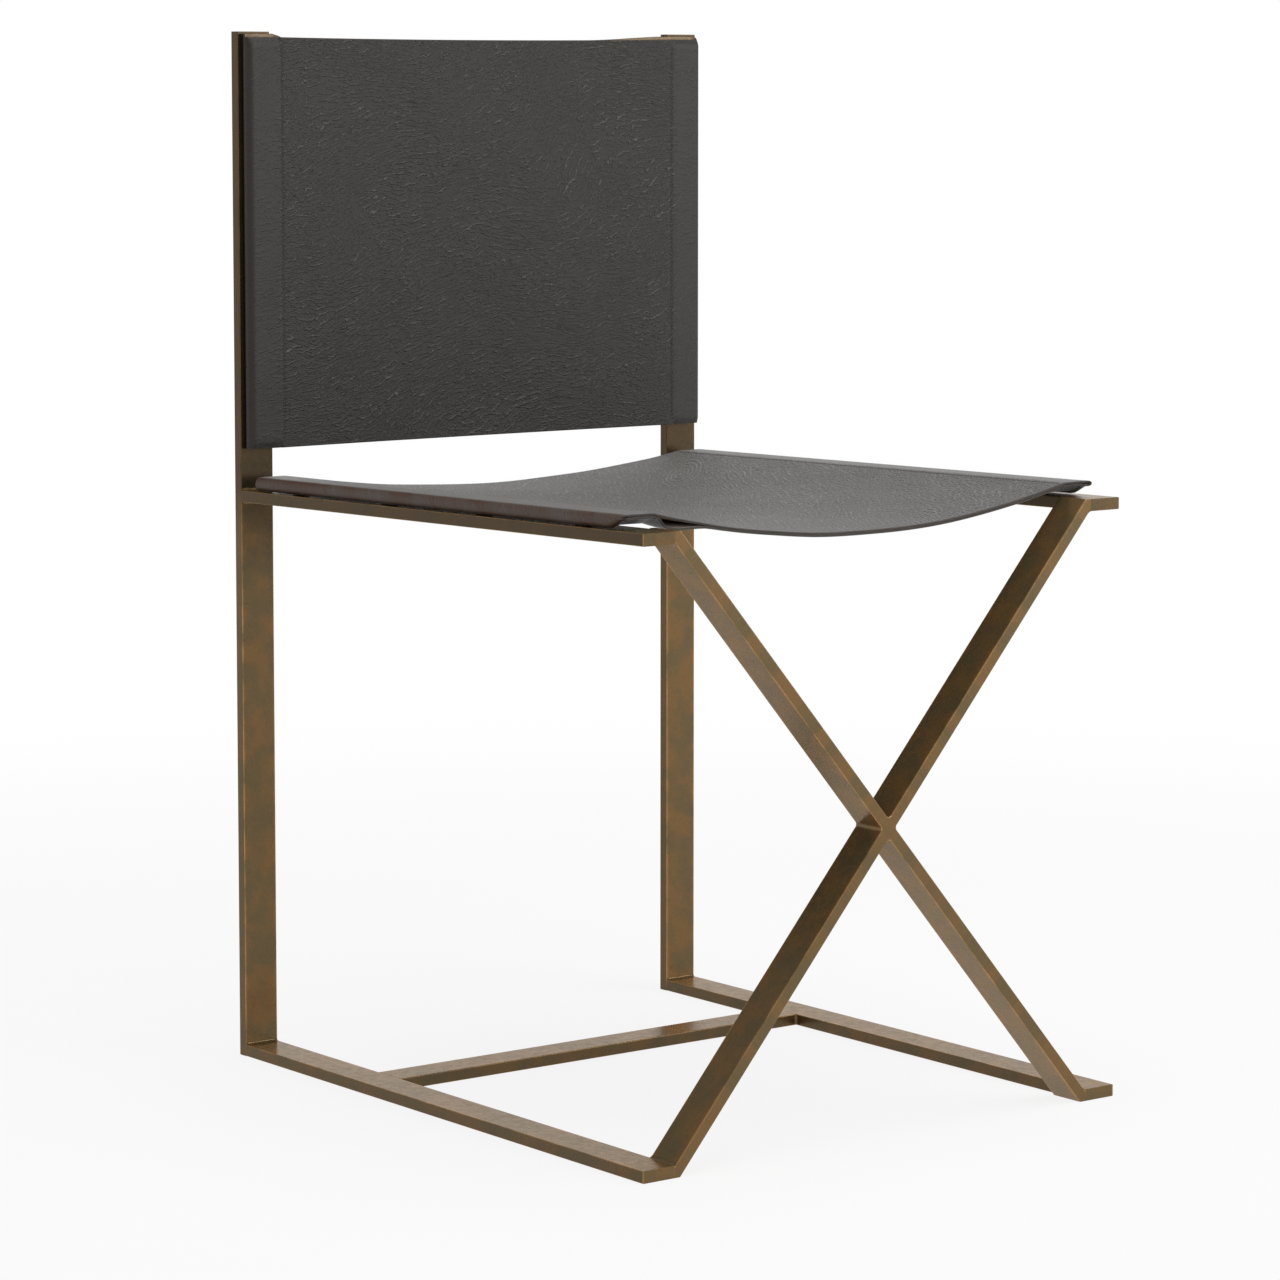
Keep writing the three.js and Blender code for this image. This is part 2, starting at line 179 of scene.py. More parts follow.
def patinated_steel(name, along=None, across=None, middle=0, thin_painted_shade=0.4, wide_painted_shade=0):
    """Hot rolled flat bar, ground, turned brown by a bronze patina and waxed: a satin brown metal
    that wanders between olive and red, worn warmer and smoother by rubbing towards the edges of
    each face, with faint grinding lines along the bar. A CAD bar says by axis which way it runs and
    where the middle of its width lies; a new piece carries both in its flat place. `thin_painted_shade`
    and
    `wide_painted_shade` are the shares of painted shade on the thin and the wide faces, which are mixed
    towards dark brown by them."""
    material, tree, output = new_material(name)
    line_width_share = 0.03  # width of a grinding line by its length
    if along is None:
        place = add_node(tree, "UVMap", uv_map="hide")
        split = add_node(tree, "SeparateXYZ", {0: place})
        offset = split.outputs[1]
        line_scale = (line_width_share, 1, 1)
    else:
        place = add_node(tree, "TexCoord").outputs["Object"]
        split = add_node(tree, "SeparateXYZ", {0: place})
        side = add_node(tree, "Math", {0: split.outputs["XYZ".index(across)]}, operation="ABSOLUTE")
        offset = add_node(tree, "Math", {0: side, 1: middle * 0.001}, operation="SUBTRACT")
        line_scale = tuple(line_width_share if axis == along else 1 for axis in "XYZ")
    off_middle = add_node(tree, "Math", {0: offset}, operation="ABSOLUTE")
    # A thin face looks along the bar's width, and a wide face doesn't
    facing = add_node(tree, "SeparateXYZ", {0: add_node(tree, "NewGeometry").outputs["Normal"]})
    on_thin = add_node(tree, "Math", {0: facing.outputs["XYZ".index(across or "Y")]}, operation="ABSOLUTE")
    on_wide = add_node(tree, "MapRange", {0: on_thin, 1: 0.8, 2: 0.95, 3: 1, 4: 0})

    # Clouds of patina about 24 mm across, and finer ones of 6 mm
    clouds = add_node(tree, "TexNoise", {"Vector": place, "Scale": 42, "Detail": 3, "Roughness": 0.55})
    flecks = add_node(tree, "TexNoise", {"Vector": place, "Scale": 170, "Detail": 2, "Roughness": 0.5})
    cloud_share = add_node(tree, "MapRange", {0: clouds, 1: 0.36, 2: 0.66}, **SMOOTHLY)
    fleck_share = add_node(tree, "MapRange", {0: flecks, 1: 0.5, 2: 0.78, 4: 0.3}, **SMOOTHLY)
    brown = add_node(tree, "Mix", {0: cloud_share, 6: linear("#645539"), 7: linear("#775A36")}, **COLOURS)
    mottled = add_node(tree, "Mix", {0: fleck_share, 6: brown, 7: linear("#52452F")}, **COLOURS)

    # The wide faces are rubbed by cloth over their last 2 to 4 mm, as the clouds go
    ragged = add_node(tree, "Math", {0: clouds, 1: 0.008, 2: off_middle}, operation="MULTIPLY_ADD")
    banded = add_node(tree, "MapRange", {0: ragged, 1: 0.0168, 2: 0.0192}, **SMOOTHLY)
    rub_wear_and_fold_shade = add_node(tree, "Math", {0: banded, 1: on_wide}, operation="MULTIPLY")
    coloured = add_node(tree, "Mix", {0: rub_wear_and_fold_shade, 6: mottled, 7: linear("#866138")}, **COLOURS)
    # Their corners, 15.5 mm from the middle, are made bright here and there: partly edge wear, partly a
    # painted highlight along the rolled corner
    corner = add_node(tree, "MapRange", {0: off_middle, 1: 0.0144, 2: 0.0151}, **SMOOTHLY)
    here = add_node(tree, "MapRange", {0: clouds, 1: 0.35, 2: 0.6, 3: 0.2, 4: 0.9})
    bright = add_node(tree, "Math", {0: corner, 1: on_wide}, operation="MULTIPLY")
    bright = add_node(tree, "Math", {0: bright, 1: here}, operation="MULTIPLY")
    coloured = add_node(tree, "Mix", {0: bright, 6: coloured, 7: linear("#B99668")}, **COLOURS)

    # Painted shade: the thin faces and the wide faces are mixed towards dark brown, each by its own share
    shade = add_node(tree, "MapRange", {0: on_thin, 1: 0.8, 2: 0.95, 3: wide_painted_shade, 4: thin_painted_shade})
    if along == "Z":
        # Painted shade on the uprights, from a ragged border under the seat upwards, where the seat and
        # the leather shade them
        height = split.outputs[2]
        border = add_node(tree, "Math", {0: clouds, 1: -0.05, 2: height}, operation="MULTIPLY_ADD")
        kept = add_node(tree, "MapRange", {0: border, 1: 0.355, 2: 0.465, 3: 0, 4: 0.8}, **SMOOTHLY)
        shade = add_node(tree, "Math", {0: shade, 1: kept}, operation="MAXIMUM")
    coloured = add_node(tree, "Mix", {0: shade, 6: coloured, 7: linear("#2B251D")}, **COLOURS)
    # Where shade is painted the wax coat is thinner too, so that its reflection is dimmed there as well
    wax = add_node(tree, "MapRange", {0: shade, 1: 0.2, 2: 0.7, 3: 0.2, 4: 0.02})
    dullness = add_node(tree, "MapRange", {0: flecks, 1: 0.3, 2: 0.75, 3: 0.22, 4: 0.33})
    roughness = add_node(tree, "Math", {0: rub_wear_and_fold_shade, 1: -0.06, 2: dullness}, operation="MULTIPLY_ADD")

    # Grinding lines, finer than the render shows, are drawn 0.5 mm apart
    drawn_out = add_node(tree, "Mapping", {"Vector": place, "Scale": line_scale})
    lines = add_node(tree, "TexNoise", {"Vector": drawn_out, "Scale": 1900, "Detail": 0})
    relief = add_node(tree, "Bump", {"Height": lines, "Strength": 0.12, "Distance": 0.00006})
    shader = add_node(
        tree,
        "BsdfPrincipled",
        {
            "Base Color": coloured,
            "Metallic": 0.45,
            "Roughness": roughness,
            "Specular IOR Level": 0.45,
            "Specular Tint": linear("#FFDFB8"),
            "Coat Weight": wax,
            "Coat IOR": 1.35,
            "Coat Roughness": 0.16,
            "Normal": relief,
        },
    )
    tree.links.new(shader.outputs[0], output.inputs[0])
    return material


def zinc_plate():
    """Zinc plated mild steel, barrel plated and left bright: pale grey with a dull bloom, in
    clouds 6 mm across."""
    material, tree, output = new_material("zinc_plated_steel")
    place = add_node(tree, "TexCoord").outputs["Object"]
    bloom = add_node(tree, "TexNoise", {"Vector": place, "Scale": 160, "Detail": 4})
    colour = add_node(tree, "Mix", {0: bloom, 6: linear("#8C8E90"), 7: linear("#B4B6B6")}, **COLOURS)
    dull = add_node(tree, "MapRange", {0: bloom, 1: 0.3, 2: 0.7, 3: 0.3, 4: 0.5})
    shader = add_node(tree, "BsdfPrincipled", {"Base Color": colour, "Metallic": 1, "Roughness": dull})
    tree.links.new(shader.outputs[0], output.inputs[0])
    return material


def black_oxide():
    """Blackened alloy steel, oiled: near black with a soft shine, and brown in specks of 1.4 mm
    where it has worn."""
    material, tree, output = new_material("black_oxide_steel")
    place = add_node(tree, "TexCoord").outputs["Object"]
    wear = add_node(tree, "TexNoise", {"Vector": place, "Scale": 700, "Detail": 5})
    share = add_node(tree, "MapRange", {0: wear, 1: 0.5, 2: 0.8})
    colour = add_node(tree, "Mix", {0: share, 6: linear("#2A2826"), 7: linear("#5A4C3E")}, **COLOURS)
    dull = add_node(tree, "MapRange", {0: wear, 1: 0.3, 2: 0.7, 3: 0.34, 4: 0.5})
    shader = add_node(tree, "BsdfPrincipled", {"Base Color": colour, "Metallic": 0.9, "Roughness": dull})
    tree.links.new(shader.outputs[0], output.inputs[0])
    return material


def saddle_leather(
    name, dye, fold_shade_colour, pull, pull_turn, relief_depth, growth_marks=(), bloom=0, pebbling=0.35, pebble=1.4
):
    """Drum dyed cowhide, 1.8 mm, with its natural grain: pebbled, creased by two families of fine
    wrinkles that cross, come and go, and with a soft sheen that the creases break. The cut edges
    are stained dark brown, and the flesh side inside the loop is undyed suede.

    The hide wanders between the two colours of `dye`. Where it folds over a bar's outer edge it is
    painted darker and browner, towards `fold_shade_colour`, as shade and a warm reflection of the rails.
    Its grain is drawn out `pull` times along a line at `pull_turn` degrees to the way round the loop, and
    stands `relief_depth` mm high. `growth_marks` places rings of fine wrinkles in the flat hide:
    middle, radius and spacing. `bloom` is the weight of a pale sheen on the grain, `pebbling` a
    pebble's height by a wrinkle's, and `pebble` its width in mm."""
    material, tree, output = new_material(name)
    hide = add_node(tree, "UVMap", uv_map="hide")
    turned = add_node(tree, "Mapping", {"Vector": hide, "Rotation": (0, 0, -math.radians(pull_turn))})
    place = add_node(tree, "Mapping", {"Vector": turned, "Scale": (1 / pull, 1, 1)})

    # Pebbles, which are 1 mm across on a real hide, are drawn as coarse as they need to show. A
    # noise moves them by up to 1 mm, so that they don't lie in rows.
    wander = add_node(tree, "TexNoise", {"Vector": place, "Scale": 260, "Detail": 2})
    shifted = add_node(tree, "Mix", {1: (0.0012,) * 3, 4: place, 5: wander.outputs["Color"]}, **PLACES)
    pebbles = add_node(
        tree,
        "TexVoronoi",
        {"Vector": shifted, "Scale": 1000 / pebble, "Smoothness": 0.3},
        feature="SMOOTH_F1",
        voronoi_dimensions="2D",
    )

    # Wrinkles: thin raised lines, a set 4.4 mm apart and a lower one 3.2 mm apart that crosses it.
    # A slow wander bends them into fans, and a finer one makes them merge and fork. Each set is
    # broken into dashes 5 to 15 mm long and comes and goes in patches about 60 mm across.
    bend = add_node(tree, "TexNoise", {"Vector": place, "Scale": 7, "Detail": 1, "Roughness": 0.5})
    swung = add_node(tree, "Mix", {1: (0.07,) * 3, 4: place, 5: bend.outputs["Color"]}, **PLACES)
    families = []
    for turn, apart, height in ((22, 4.4, 1.0), (2, 3.2, 0.65)):
        slanted = add_node(tree, "Mapping", {"Vector": swung, "Rotation": (0, 0, math.radians(-turn))})
        bands = add_node(
            tree,
            "TexWave",
            {"Vector": slanted, "Scale": WAVE_BAND / apart, "Distortion": 11, "Detail": 4,
             "Detail Scale": 0.6, "Detail Roughness": 0.68},
            bands_direction="Y",
        )
        crest = add_node(
            tree, "MapRange", {0: bands.outputs["Fac"], 1: 0.7, 2: 1, 3: 0, 4: height}, **SMOOTHLY
        )
        drawn_out = add_node(tree, "Mapping", {"Vector": slanted, "Scale": (0.45, 1, 1)})
        breaks = add_node(tree, "TexNoise", {"Vector": drawn_out, "Scale": 800 / apart, "Detail": 2})
        dash = add_node(tree, "MapRange", {0: breaks, 1: 0.42, 2: 0.56}, **SMOOTHLY)
        patches = add_node(
            tree, "TexNoise", {"Vector": place, "Scale": 80 / apart, "Detail": 2, "Roughness": 0.6}
        )
        patch = add_node(tree, "MapRange", {0: patches, 1: 0.36, 2: 0.58, 3: 0.4, 4: 1}, **SMOOTHLY)
        shown = add_node(tree, "Math", {0: crest, 1: dash}, operation="MULTIPLY")
        families.append(add_node(tree, "Math", {0: shown, 1: patch}, operation="MULTIPLY"))
    # Growth marks: rings drawn out 4.5 times along a line at 45 degrees
    ring_turn = math.radians(45)
    for (x, y), radius, spacing in growth_marks:
        middle_x = x * math.cos(ring_turn) + y * math.sin(ring_turn)
        middle_y = y * math.cos(ring_turn) - x * math.sin(ring_turn)
        to_middle = (-middle_x / 1000, -middle_y / 1000, 0)
        from_middle = add_node(
            tree, "Mapping", {"Vector": hide, "Rotation": (0, 0, -ring_turn), "Location": to_middle}
        )
        drawn_out = add_node(tree, "Mapping", {"Vector": from_middle, "Scale": (0.22, 1, 1)})
        rings = add_node(
            tree,
            "TexWave",
            {"Vector": drawn_out, "Scale": WAVE_BAND / spacing, "Distortion": 3.5, "Detail": 2,
             "Detail Scale": 0.4},
            wave_type="RINGS",
            rings_direction="Z",
        )
        crest = add_node(tree, "MapRange", {0: rings.outputs["Fac"], 1: 0.4, 2: 1, 4: 1.6}, **SMOOTHLY)
        reach = add_node(tree, "VectorMath", {0: drawn_out}, operation="LENGTH")
        inside = add_node(
            tree, "MapRange", {0: reach, 1: radius * 0.0006, 2: radius * 0.001, 3: 1, 4: 0}, **SMOOTHLY
        )
        families.append(add_node(tree, "Math", {0: crest, 1: inside}, operation="MULTIPLY"))
    wrinkles = families[0]
    for family in families[1:]:
        wrinkles = add_node(tree, "Math", {0: wrinkles, 1: family}, operation="MAXIMUM")

    # From the seam outwards, where it is drawn tight over the bars, the leather is smoother, and so
    # is the under layer
    round_loop = add_node(tree, "SeparateXYZ", {0: hide}).outputs[0]
    far = add_node(tree, "Math", {0: round_loop}, operation="ABSOLUTE")
    slack = add_node(tree, "MapRange", {0: far, 1: 0.196, 2: 0.21, 3: 1, 4: 0.25}, **SMOOTHLY)
    # The cut edges are pared smooth
    edge = add_node(tree, "Attribute", attribute_name="edge").outputs["Fac"]
    uncut = add_node(tree, "MapRange", {0: edge, 1: 0.2, 2: 0.7, 3: 1, 4: 0})
    kept = add_node(tree, "Math", {0: slack, 1: uncut}, operation="MULTIPLY")
    # Each pebble is a low dome, highest at its middle, and the wrinkles stand on the pebbles
    height = add_node(tree, "Math", {0: pebbles, 1: -pebbling, 2: wrinkles}, operation="MULTIPLY_ADD")
    height = add_node(tree, "Math", {0: height, 1: kept}, operation="MULTIPLY")
    relief = add_node(tree, "Bump", {"Height": height, "Strength": 1, "Distance": relief_depth / 1000})

    tone = add_node(tree, "TexNoise", {"Vector": place, "Scale": 30, "Detail": 4, "Roughness": 0.6})
    dyed = add_node(tree, "Mix", {0: tone, 6: linear(dye[0]), 7: linear(dye[1])}, **COLOURS)
    # Painted shade darkens the pits between the pebbles, and a painted highlight makes the wrinkles'
    # crests paler
    low = add_node(tree, "MapRange", {0: height, 1: -0.6, 2: -0.1, 3: 0.4, 4: 0})
    pitted = add_node(tree, "Mix", {0: low, 6: dyed, 7: linear("#1C1B1A")}, **COLOURS)
    crest_highlight = add_node(tree, "MapRange", {0: height, 1: 0.1, 2: 0.9, 3: 0, 4: 0.34})
    grained = add_node(tree, "Mix", {0: crest_highlight, 6: pitted, 7: linear("#6E6B66")}, **COLOURS)
    # Painted shade and a warm painted reflection of the rails: where the hide folds over a bar's outer
    # edge it is made darker and browner, unevenly, and has no bloom
    fold = add_node(tree, "Math", {0: far, 1: OUTER_EDGE_S * 0.001}, operation="SUBTRACT")
    fold = add_node(tree, "Math", {0: fold}, operation="ABSOLUTE")
    rub_wear_and_fold_shade = add_node(tree, "MapRange", {0: fold, 1: 0.005, 2: 0.008, 3: 0.95, 4: 0}, **SMOOTHLY)
    unevenly = add_node(tree, "MapRange", {0: tone, 1: 0.35, 2: 0.6, 3: 0.55, 4: 1})
    rub_wear_and_fold_shade = add_node(tree, "Math", {0: rub_wear_and_fold_shade, 1: unevenly}, operation="MULTIPLY")
    grained = add_node(tree, "Mix", {0: rub_wear_and_fold_shade, 6: grained, 7: linear(fold_shade_colour)}, **COLOURS)
    dusted = add_node(tree, "MapRange", {0: rub_wear_and_fold_shade, 3: bloom, 4: 0})
    edged = add_node(tree, "Mix", {0: edge, 6: grained, 7: linear("#3A322B")}, **COLOURS)
    # Suede's fibres, finer than the render shows, are drawn 1.1 mm across
    fibres = add_node(tree, "TexNoise", {"Vector": place, "Scale": 900, "Detail": 4})
    suede = add_node(tree, "Mix", {0: fibres, 6: linear("#8E7A60"), 7: linear("#B39D7E")}, **COLOURS)
    flesh = add_node(tree, "Attribute", attribute_name="flesh").outputs["Fac"]
    coloured = add_node(tree, "Mix", {0: flesh, 6: edged, 7: suede}, **COLOURS)
    # The crests are smoother than the pits
    waxed = add_node(tree, "MapRange", {0: height, 1: -0.6, 2: 0.6, 3: 0.56, 4: 0.38})
    dull = add_node(tree, "Mix", {0: flesh, 2: waxed, 3: 0.95})
    shader = add_node(
        tree,
        "BsdfPrincipled",
        {
            "Base Color": coloured,
            "Roughness": dull,
            "Specular IOR Level": 0.3,
            "Sheen Weight": dusted,
            "Sheen Roughness": 0.4,
            "Normal": relief,
        },
    )
    tree.links.new(shader.outputs[0], output.inputs[0])
    return material


def bonded_thread():
    """Bonded nylon thread, 0.7 mm, twisted from three strands and waxed: near black, with a small
    gleam on each stitch. The strands are drawn as grains of 0.6 mm."""
    material, tree, output = new_material("bonded_nylon_thread")
    place = add_node(tree, "TexCoord").outputs["Object"]
    twist = add_node(tree, "TexNoise", {"Vector": place, "Scale": 1600, "Detail": 2})
    colour = add_node(tree, "Mix", {0: twist, 6: linear("#262524"), 7: linear("#3E3C3A")}, **COLOURS)
    strands = add_node(tree, "Bump", {"Height": twist, "Strength": 0.5, "Distance": 0.0002})
    shader = add_node(tree, "BsdfPrincipled", {"Base Color": colour, "Roughness": 0.5, "Normal": strands})
    tree.links.new(shader.outputs[0], output.inputs[0])
    return material


# Front cross, welded into one

CROSS_RISE = SEAT_HEIGHT - 2 * BAR_THICK
CROSS_DIAGONAL = math.hypot(2 * INNER_HALF, CROSS_RISE)
CROSS_ANGLE = math.atan2(CROSS_RISE, 2 * INNER_HALF) + math.asin(BAR_THICK / CROSS_DIAGONAL)
CROSS_MIDDLE_Z = SEAT_HEIGHT / 2
CROSS_WELD = 3.2  # radius of the ground welds where the bars cross
WELD_POINTS = 13
WAVE_STOP = 2  # how far from a weld its waves die out along a bar
END_OVERLAP = 0.9  # how far the ends run on into the rails, past their rolled corners
FRONT_PROUD = 0.02  # how far the cross stands in front of the rails' ends


def cross_outline():
    """Outline of the cross seen from the front, anticlockwise, with what one millimetre of inset
    moves each point. It runs in along one face of an arm, round a weld and out along the next arm,
    four times over. A weld is an arc about the point where circles would touch both faces. The ends
    slide along the rails, so that the front stays flush with theirs."""
    half = BAR_THICK / 2
    sine, cosine = math.sin(CROSS_ANGLE), math.cos(CROSS_ANGLE)
    end_x, end_z = INNER_HALF + END_OVERLAP, CROSS_MIDDLE_Z
    low, high = (end_x * sine - half) / cosine, (end_z * cosine - half) / sine
    end = np.array([[end_x, low], [end_x, end_z], [high, end_z]])
    slide = np.array([[0, 1 / cosine], [0, 0], [1 / sine, 0]])
    points, insets, welded = [], [], []
    for quarter, sides in enumerate(((1, 1), (-1, 1), (-1, -1), (1, -1))):
        facing = quarter * math.pi / 2
        opening = math.pi / 2 - CROSS_ANGLE if quarter % 2 else CROSS_ANGLE
        swing = math.pi / 2 - opening
        angle = facing + math.pi + swing * np.linspace(1, -1, WELD_POINTS)
        out = np.stack([np.cos(angle), np.sin(angle)], -1)
        reach = (half + CROSS_WELD) / math.sin(opening)
        weld = reach * np.array([math.cos(facing), math.sin(facing)]) + CROSS_WELD * out
        along = WAVE_STOP * np.array([[-out[0, 1], out[0, 0]], [out[-1, 1], -out[-1, 0]]])
        points += [weld[:1] + along[:1], weld, weld[-1:] + along[1:]]
        insets += [out[:1], out, out[-1:]]
        welded += [np.zeros(1), np.ones(len(out)), np.zeros(1)]
        # End of the arm that follows, on each face and at the rail's corner
        order = slice(None, None, -1) if quarter % 2 else slice(None)
        points.append((end * sides)[order])
        insets.append((slide * sides)[order])
        welded.append(np.zeros(3))
    return np.concatenate(points), np.concatenate(insets), np.concatenate(welded)


def front_cross(material):
    """The outline carried from front to back: at each depth it is inset along a quarter circle of
    the rolled corner, and in the welds by two sine waves 10 and 5 mm long, 0.1 and 0.04 mm high.
    The two flat faces close it."""
    corner_points, side_points = 5, 16
    outline, inset, welded = cross_outline()
    turn = np.linspace(0, math.pi / 2, corner_points)
    depth = BAR_CORNER * (1 - np.cos(turn))
    shrink = BAR_CORNER * (1 - np.sin(turn))
    middle = np.linspace(BAR_CORNER, BAR_WIDTH - BAR_CORNER, side_points)[1:-1]
    depth = np.concatenate([depth, middle, BAR_WIDTH - depth[::-1]])
    shrink = np.concatenate([shrink, np.zeros(len(middle)), shrink[::-1]])
    ripple = 0.1 * np.sin(depth * 0.6 + 0.7) + 0.04 * np.sin(depth * 1.3)
    moved = shrink[:, None] + ripple[:, None] * welded[None, :]
    across = outline[None] + inset[None] * moved[..., None]
    points = np.empty((len(depth), len(outline), 3))
    points[..., 0] = across[..., 0]
    points[..., 1] = FRONT_Y - FRONT_PROUD + depth[:, None]
    points[..., 2] = CROSS_MIDDLE_Z + across[..., 1]
    rows, columns = points.shape[:2]
    sides = grid_quads(rows, columns, round_columns=True)[:, ::-1]
    front = np.arange(columns)[None]
    rear = front[:, ::-1] + (rows - 1) * columns
    run = across[..., 0] * math.cos(CROSS_ANGLE)
    rise = across[..., 1] * math.sin(CROSS_ANGLE)
    along = np.where(run * rise > 0, rise + run, rise - run)
    off_middle = np.broadcast_to((depth - BAR_WIDTH / 2)[:, None], along.shape)
    flat_place = np.stack([along, off_middle], -1).reshape(-1, 2)
    piece = add_piece(
        "front_cross",
        points.reshape(-1, 3),
        [sides, front, rear],
        material,
        replaces=("cross_bar", "cross_bar_lower_half", "cross_bar_upper_half"),
        flat_place=flat_place,
        smooth=False,
    )
    return piece


def corner_welds(material):
    """Ground welds in the inner corners of the frame. Each is drawn at stations along its corner:
    from `leg` along one face it curves in and out again to `leg` along the other face, as
    leg ((1 - sin a) first + (1 - cos a) second), and its leg wavers along the corner as two sine
    waves about 1.9 mm. It reaches 0.3 mm into the steel."""
    mean_leg, long_wave, short_wave, root = 1.9, 0.22, 0.12, 0.3
    stations, curve_points = 15, 7
    wide_inset, front_inset, thin_inset = 0.6, 0.3, 0.5
    inner, outer = INNER_HALF + wide_inset, FRAME_WIDTH / 2 - wide_inset
    front, rear = FRONT_Y + front_inset, FRONT_Y + BAR_WIDTH - front_inset
    near, far = thin_inset, BAR_THICK - thin_inset
    wall, side = UPRIGHT_FRONT_Y, INNER_HALF
    low, under = SEAT_HEIGHT - SEAT_FALL, SEAT_HEIGHT - BAR_THICK
    stretcher_front, top_rail_foot = STRETCHER_REAR_Y - BAR_WIDTH, TOP_RAIL_Z - BAR_WIDTH
    cosine, sine = math.cos(CROSS_ANGLE), math.sin(CROSS_ANGLE)
    up, down, forward, backward, inward, outward = np.array(
        [(0, 0, 1), (0, 0, -1), (0, -1, 0), (0, 1, 0), (-1, 0, 0), (1, 0, 0)], float
    )
    # On the right: the ends of each weld's corner, and the ways along its two faces
    right = [
        ((inner, wall, BAR_THICK), (outer, wall, BAR_THICK), up, forward),
        ((inner, wall, low), (outer, wall, low), up, forward),
        ((inner, wall, low - BAR_THICK), (outer, wall, low - BAR_THICK), down, forward),
        ((side, STRETCHER_REAR_Y, near), (side, STRETCHER_REAR_Y, far), inward, backward),
        ((side, stretcher_front, near), (side, stretcher_front, far), inward, forward),
        ((side, wall + near, TOP_RAIL_Z), (side, wall + far, TOP_RAIL_Z), inward, up),
        ((side, wall + near, top_rail_foot), (side, wall + far, top_rail_foot), inward, down),
        ((side, front, BAR_THICK), (side, rear, BAR_THICK), outward, (-cosine, 0, sine)),
        ((side, front, under), (side, rear, under), outward, (-cosine, 0, -sine)),
    ]
    joints = np.array(right, float)
    joints = np.concatenate([joints, joints * (-1, 1, 1)])
    start, end, first, second = (joints[:, None, None, i] for i in range(4))
    share = np.linspace(0, 1, stations)[None, :, None, None]
    bead = np.arange(len(joints))[:, None, None, None]
    leg = mean_leg + long_wave * np.sin(share * 11 + bead * 1.7) + short_wave * np.sin(share * 27 + bead)
    turn = np.linspace(0, math.pi / 2, curve_points)[None, None, :, None]
    curve = leg * ((1 - np.sin(turn)) * first + (1 - np.cos(turn)) * second)
    curve = np.concatenate([curve, np.broadcast_to(-root * (first + second), curve[:, :, :1].shape)], 2)
    points = start + (end - start) * share + curve
    rows, columns = points.shape[1:3]
    one = grid_quads(rows, columns, round_columns=True)
    caps = np.stack([np.arange(columns)[::-1], np.arange(columns) + (rows - 1) * columns])
    # A bead whose corner runs the other way round has its faces turned
    wound = np.einsum("ij,ij->i", np.cross(joints[:, 2], joints[:, 3]), joints[:, 1] - joints[:, 0]) > 0
    sides = [(one if w else one[:, ::-1]) + i * rows * columns for i, w in enumerate(wound)]
    ends = [(caps if w else caps[:, ::-1]) + i * rows * columns for i, w in enumerate(wound)]
    flat = points.reshape(-1, 3)
    flat_place = np.stack([flat.sum(1), np.zeros(len(flat))], -1)
    faces = [np.concatenate(sides), np.concatenate(ends)]
    piece = add_piece("corner_welds", flat, faces, material, flat_place=flat_place)
    return piece


# Leather slings

HALF_THICK = LEATHER_THICK / 2
DRAWN_HALF = 0.87  # half the thickness as drawn, so that no layer touches what it lies on
# Mid line of the leather round the right bar, before its corners are bent: from the middle of the
# layer that carries the sitter, over the bar's outer edge in a roll that hangs down beside the
# spacers onto the steel, and back under the bar to the middle of the under layer
PATH_CORNERS = np.array([
    (0, LEATHER_FACE - HALF_THICK),
    (SLEEVE_OUTER - 2.1, LEATHER_FACE - HALF_THICK),
    (SLEEVE_OUTER + 0.5, LEATHER_FACE - 2.8),
    (SLEEVE_OUTER + 1.2, 6.0),
    (SLEEVE_OUTER + 0.5, 3.1),
    (SLEEVE_OUTER - 1.7, 1.1),
    (SLEEVE_OUTER - 4.2, 1.7),
    (SLEEVE_OUTER - 6.2, STANDOFF + HALF_THICK),
    (SEAM_X + 2, STANDOFF + HALF_THICK),
    (SEAM_X + 0.1, SHEET_UNDER + HALF_THICK),
    (0, SHEET_UNDER + HALF_THICK),
])
PATH_STEP = 0.2
PATH_BEND = 1.2  # width of the bell that rounds the path's corners
FINE_PLACES = 5000  # places from which a sling's rows and columns are spread


def loop_path():
    """Mid line of the leather, once round both sling bars, starting at the middle of the face that
    carries the sitter: distance along it, x and height. The corners are joined by straight lines
    with a point every 0.2 mm, and each point is then averaged with its neighbours over a bell
    curve, which bends the leather round the corners."""
    corners = np.concatenate([PATH_CORNERS, PATH_CORNERS[:0:-1] * (-1, 1), PATH_CORNERS[:1]])
    reached = np.concatenate([[0], np.cumsum(np.linalg.norm(np.diff(corners, axis=0), axis=1))])
    count = int(reached[-1] / PATH_STEP)
    along = np.arange(count) * reached[-1] / count
    waves = np.fft.rfftfreq(count, reached[-1] / count)
    soften = np.exp(-2 * (math.pi * PATH_BEND * waves) ** 2)
    x, z = (
        np.fft.irfft(np.fft.rfft(np.interp(along, reached, corners[:, i])) * soften, count)
        for i in (0, 1)
    )
    return along, x, z, reached[-1]


LOOP_S, LOOP_X, LOOP_Z, LOOP_LENGTH = loop_path()
OUTER_EDGE_S = LOOP_S[np.argmax(LOOP_X)]
UNDER_RIGHT = (LOOP_S > OUTER_EDGE_S) & (LOOP_S < LOOP_LENGTH / 2)
STITCH_X = SEAM_X - 0.3  # stitches on the upper layer
UNDER_STITCH_X = SEAM_X - 1.2  # and on the under layer, as the loop bends there
UNDER_STITCH_S = np.interp(-UNDER_STITCH_X, -LOOP_X[UNDER_RIGHT], LOOP_S[UNDER_RIGHT])
JOIN_S = LOOP_LENGTH - UNDER_STITCH_S  # the hide's two ends are joined under the left seam


def from_top(s):
    """Distance round the loop, either way, from the middle of the layer that carries the sitter."""
    return np.abs((s + LOOP_LENGTH / 2) % LOOP_LENGTH - LOOP_LENGTH / 2)


